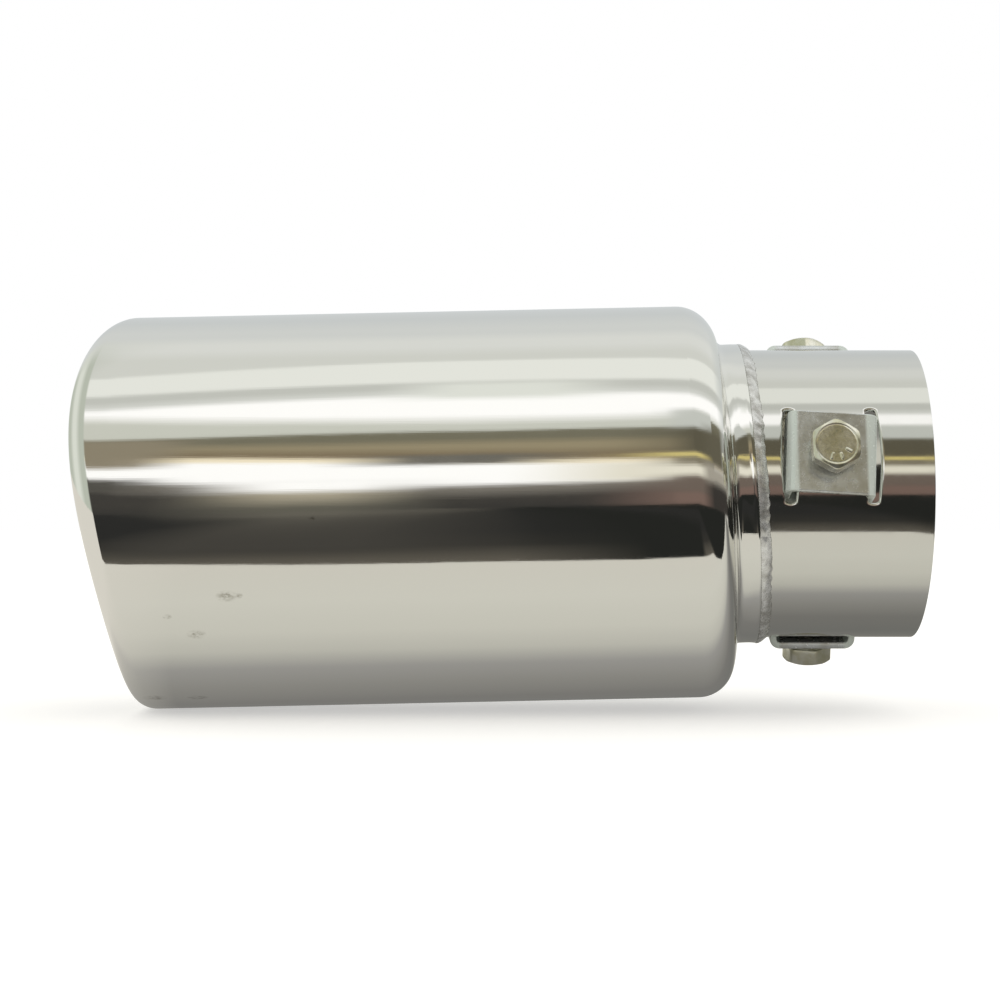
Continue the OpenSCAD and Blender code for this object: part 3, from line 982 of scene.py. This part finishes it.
# %% World bands and patches
# Lower edge in degrees, its slope and bow along the pipe, its rise on the inlet's side,
# softness, colour
BANDS = [
    (-90.0, 0.0, 0.0, 0.0, 1.0, "#30302f"),
    (-0.5, 0.0, 0.0, 0.0, 5.0, "#3e3c39"),
    (3.4, 4.0, 110.0, 1.2, 2.6, "#75716a"),
    (5.9, 4.0, 110.0, 1.8, 1.4, "#ffffff"),
    (11.6, -12.0, 0.0, 0.4, 0.8, "#f0e4c8"),
    (12.9, -12.0, 0.0, 0.0, 0.9, "#7d705a"),
    (15.2, -8.0, 0.0, 0.0, 2.0, "#938970"),
    (18.0, 0.0, 0.0, 0.0, 2.0, "#716e5e"),
    (21.2, 0.0, -30.0, 3.6, 0.8, "#c5c7be"),
    (24.3, 0.0, 60.0, 1.0, 3.0, "#ffffff"),
    (32.4, -4.0, -110.0, 0.0, 1.6, "#cdcfcb"),
    (34.2, -4.0, -110.0, 0.0, 1.4, "#bfc1bc"),
    (36.9, -4.0, -110.0, 0.6, 1.2, "#e3e5e0"),
    (44.8, -4.0, -150.0, 0.8, 0.8, "#cdcfca"),
    (49.0, 0.0, 0.0, 0.0, 4.0, "#d5d7d4"),
    (56.0, 0.0, 0.0, 0.0, 4.0, "#cbcecd"),
    (65.0, 0.0, 0.0, 0.0, 8.0, "#c2c6c7"),
]
# Lowest and highest angle, softness, lowest and highest facing, softness, colour
PATCHES = [
    (-100.0, -14.0, 4.0, -9.0, 9.0, 1.0, "#b5b4ad"),
    (-8.0, 5.8, 5.0, -0.064, -0.022, 0.026, "#605e55"),
    (2.6, 5.8, 4.0, -0.060, -0.028, 0.020, "#b3ab97"),
    (5.0, 8.0, 1.6, -0.062, -0.024, 0.020, "#ffffff"),
    (11.6, 14.4, 1.0, -0.034, 0.006, 0.020, "#6a6861"),
    (31.0, 36.5, 2.0, -0.034, 0.012, 0.020, "#dcdfd9"),
    (-2.0, 5.0, 5.0, 0.030, 0.45, 0.020, "#75625a"),
    (6.4, 11.4, 1.6, 0.012, 0.5, 0.024, "#e0dccd"),
    (3.0, 7.4, 1.6, 0.034, 0.5, 0.012, "#6b6058"),
    (10.4, 14.4, 1.4, 0.034, 0.5, 0.012, "#7d7766"),
    (12.2, 20.0, 1.4, -0.16, -0.080, 0.012, "#8a8270"),
    (5.8, 9.2, 1.2, -0.16, -0.080, 0.012, "#504e49"),
    (20.6, 26.4, 1.6, 0.034, 0.5, 0.010, "#c0c3be"),
    (13.8, 20.8, 1.6, 0.034, 0.5, 0.030, "#5a5648"),
    (12.6, 13.8, 0.5, 0.027, 0.5, 0.014, "#cdbe7c"),
    (11.6, 22.0, 3.0, 0.34, 0.85, 0.30, "#5f5b4d"),
    (6.6, 11.6, 3.0, 0.26, 0.85, 0.20, "#a09b90"),
    (-20.0, 6.6, 3.0, 0.32, 0.85, 0.28, "#393633"),
    (9.0, 100.0, 4.0, 0.76, 2.0, 0.16, "#c3c7c5"),
    (-100.0, 9.0, 4.0, 0.95, 2.0, 0.05, "#b9bcb8"),
    (-100.0, 52.0, 12.0, -2.0, -0.165, 0.05, "#b5bbb0"),
    (-100.0, 52.0, 12.0, -0.72, -0.42, 0.16, "#d6dad2"),
]
# A close camera sees the top a little from below, which takes 4% off the angle
near_camera = 0.962
near_tip = (-0.19, 0.09)
inlet_from, inlet_blur = 0.068, 0.02
never_zero = 0.004


def step(tree, value, edge, soft):
    """0 below the edge and 1 above it, with a soft change from one to the other."""
    above = add(tree, "ShaderNodeMath", value, edge, operation="SUBTRACT")
    return add(tree, "ShaderNodeMapRange", above, -soft / 2, soft / 2)


def studio_world():
    """The angle is atan2(z, 1 - y) of a ray, and its facing is x / sqrt(2 - 2 y).

    These are the angle and the x of the normal that mirrors the camera's view to the ray.
    A band's edge is x times (slope + bow times x), with x held near the tip, plus its
    start and its rise on the inlet's side. A patch's share is the product of four steps.
    """
    world = bpy.data.worlds.new("studio")
    bpy.context.scene.world = world
    world.use_nodes = True
    world.cycles.sampling_method = "NONE"
    tree = world.node_tree
    tree.nodes.clear()
    ray = add(tree, "ShaderNodeTexCoord").outputs["Generated"]
    part = add(tree, "ShaderNodeSeparateXYZ", ray)
    along = part.outputs["X"]
    towards = add(tree, "ShaderNodeMath", 1.0, part.outputs["Y"], operation="SUBTRACT")
    turned = add(tree, "ShaderNodeMath", part.outputs["Z"], towards, operation="ARCTAN2")
    angle = add(tree, "ShaderNodeMath", turned, math.degrees(near_camera), operation="MULTIPLY")
    doubled = add(tree, "ShaderNodeMath", towards, 2.0, never_zero, operation="MULTIPLY_ADD")
    root = add(tree, "ShaderNodeMath", doubled, operation="SQRT")
    facing = add(tree, "ShaderNodeMath", along, root, operation="DIVIDE")
    held = add(tree, "ShaderNodeMapRange", along, *near_tip, *near_tip)
    inlet_side = step(tree, facing, inlet_from, inlet_blur)

    layers = []
    for start, slope, bow, rise, soft, tint in BANDS[1:]:
        bowed = add(tree, "ShaderNodeMath", held, bow, slope, operation="MULTIPLY_ADD")
        edge = add(tree, "ShaderNodeMath", held, bowed, start, operation="MULTIPLY_ADD")
        edge = add(tree, "ShaderNodeMath", inlet_side, rise, edge, operation="MULTIPLY_ADD")
        layers.append((step(tree, angle, edge, soft), tint))
    for low, high, soft, start, end, blur, tint in PATCHES:
        share = step(tree, angle, low, soft)
        after = [step(tree, angle, high, soft), step(tree, facing, end, blur)]
        before = [add(tree, "ShaderNodeMath", 1.0, value, operation="SUBTRACT") for value in after]
        for value in [step(tree, facing, start, blur), *before]:
            share = add(tree, "ShaderNodeMath", share, value, operation="MULTIPLY")
        layers.append((share, tint))
    colour = linear(BANDS[0][-1])
    for share, tint in layers:
        colour = add(tree, "ShaderNodeMix", data_type="RGBA", Factor=share,
                     A=colour, B=linear(tint))
    glossy = add(tree, "ShaderNodeBackground", colour, mirrored_strength)
    plain = add(tree, "ShaderNodeBackground", (1, 1, 1, 1), 1.0)
    rays = add(tree, "ShaderNodeLightPath")
    pick = add(tree, "ShaderNodeMixShader", rays.outputs["Is Glossy Ray"], plain, glossy)
    add(tree, "ShaderNodeOutputWorld", pick)


studio_world()
bpy.context.scene.view_settings.view_transform = "Standard"

# %% [markdown]
# ## The camera
# The photograph looks square onto the pipe from about half a metre. The lens follows
# from that distance and from how large 1 mm at the pipe's axis shows in the picture.

# %% Camera
camera_distance = 523.0
pixels_per_mm = 4.405
picture_side = 1000
sensor_mm = 36.0
axis_pixel = (908.8, 493.7)
data = bpy.data.cameras.new("camera")
data.sensor_width = sensor_mm
data.lens = camera_distance * pixels_per_mm * sensor_mm / picture_side
data.clip_start, data.clip_end = 0.01, 20.0
camera = bpy.data.objects.new("camera", data)
bpy.context.scene.collection.objects.link(camera)
camera_x = (picture_side / 2 - axis_pixel[0]) / pixels_per_mm
camera_z = (axis_pixel[1] - picture_side / 2) / pixels_per_mm
camera.location = (camera_x * MM, -camera_distance * MM, camera_z * MM)
camera.rotation_euler = (math.pi / 2, 0, 0)
bpy.context.scene.camera = camera
print(f"lens {data.lens:.1f} mm")
